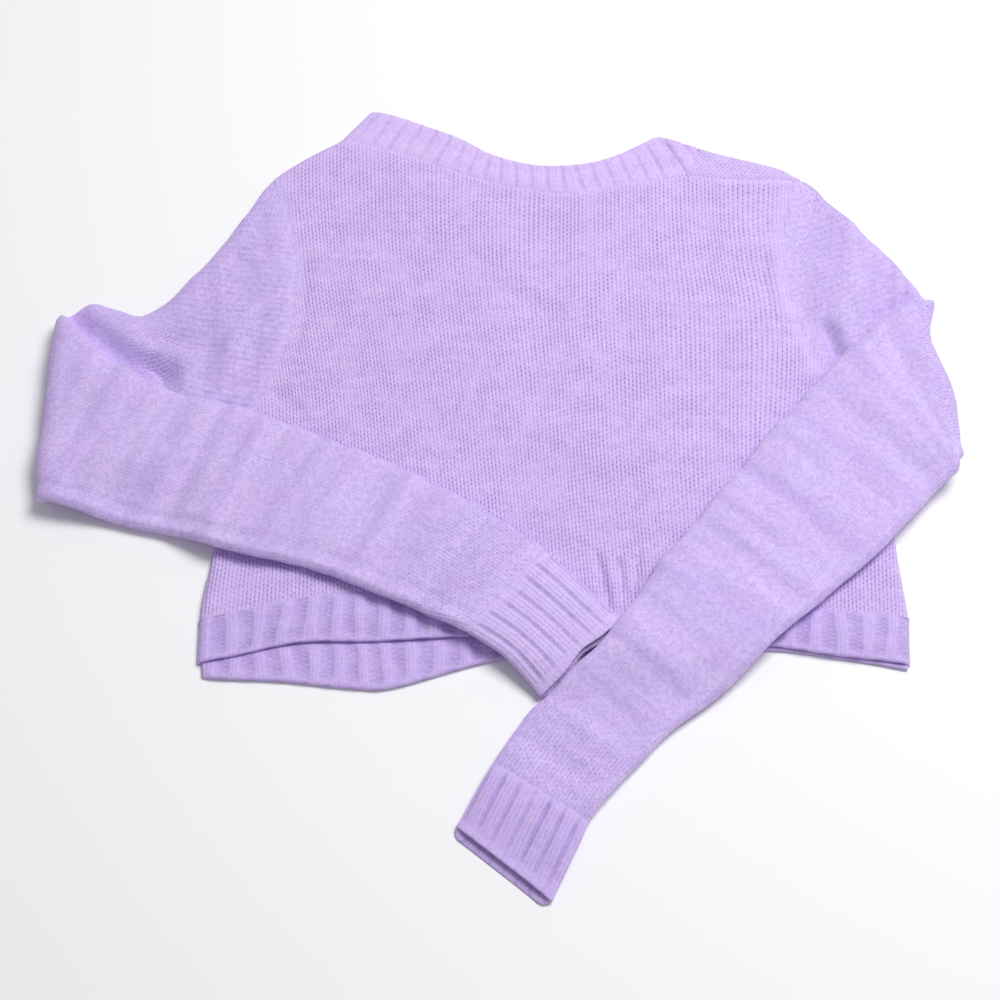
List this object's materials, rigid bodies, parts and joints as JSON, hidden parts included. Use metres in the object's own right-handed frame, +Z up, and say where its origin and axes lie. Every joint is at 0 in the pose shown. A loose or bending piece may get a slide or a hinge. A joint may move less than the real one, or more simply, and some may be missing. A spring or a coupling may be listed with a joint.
{
  "type": "cropped knit sweater",
  "caption": "Cropped knit sweater laid flat on its front, both long sleeves folded back across it, with ribbed hem, cuffs and neckband.",
  "frame": {"origin": "on the surface that the sweater lies on, under the middle of its laid-out bounding box", "axes": "+Z up out of the garment's back, +Y towards the neck, -Y towards the hem, +X across the hem towards the sleeve whose cuff passes beyond the hem"},
  "size_m": [0.6681, 0.6565, 0.023],
  "materials": {
    "front_panel": "brushed stockinette knit",
    "front_hem_rib": "knit ribbing",
    "front_neckband": "knit ribbing",
    "back_panel": "brushed stockinette knit",
    "back_hem_rib": "knit ribbing",
    "back_neckband": "knit ribbing",
    "left_sleeve": "brushed stockinette knit",
    "left_cuff": "knit ribbing",
    "right_sleeve": "brushed stockinette knit",
    "right_cuff": "knit ribbing"
  },
  "bodies": {
    "root": {"front_panel": "front_panel", "front_hem_rib": "front_hem_rib", "front_neckband": "front_neckband", "back_panel": "back_panel", "back_hem_rib": "back_hem_rib", "back_neckband": "back_neckband", "left_sleeve": "left_sleeve", "left_cuff": "left_cuff", "right_sleeve": "right_sleeve", "right_cuff": "right_cuff"}
  },
  "joints": []
}
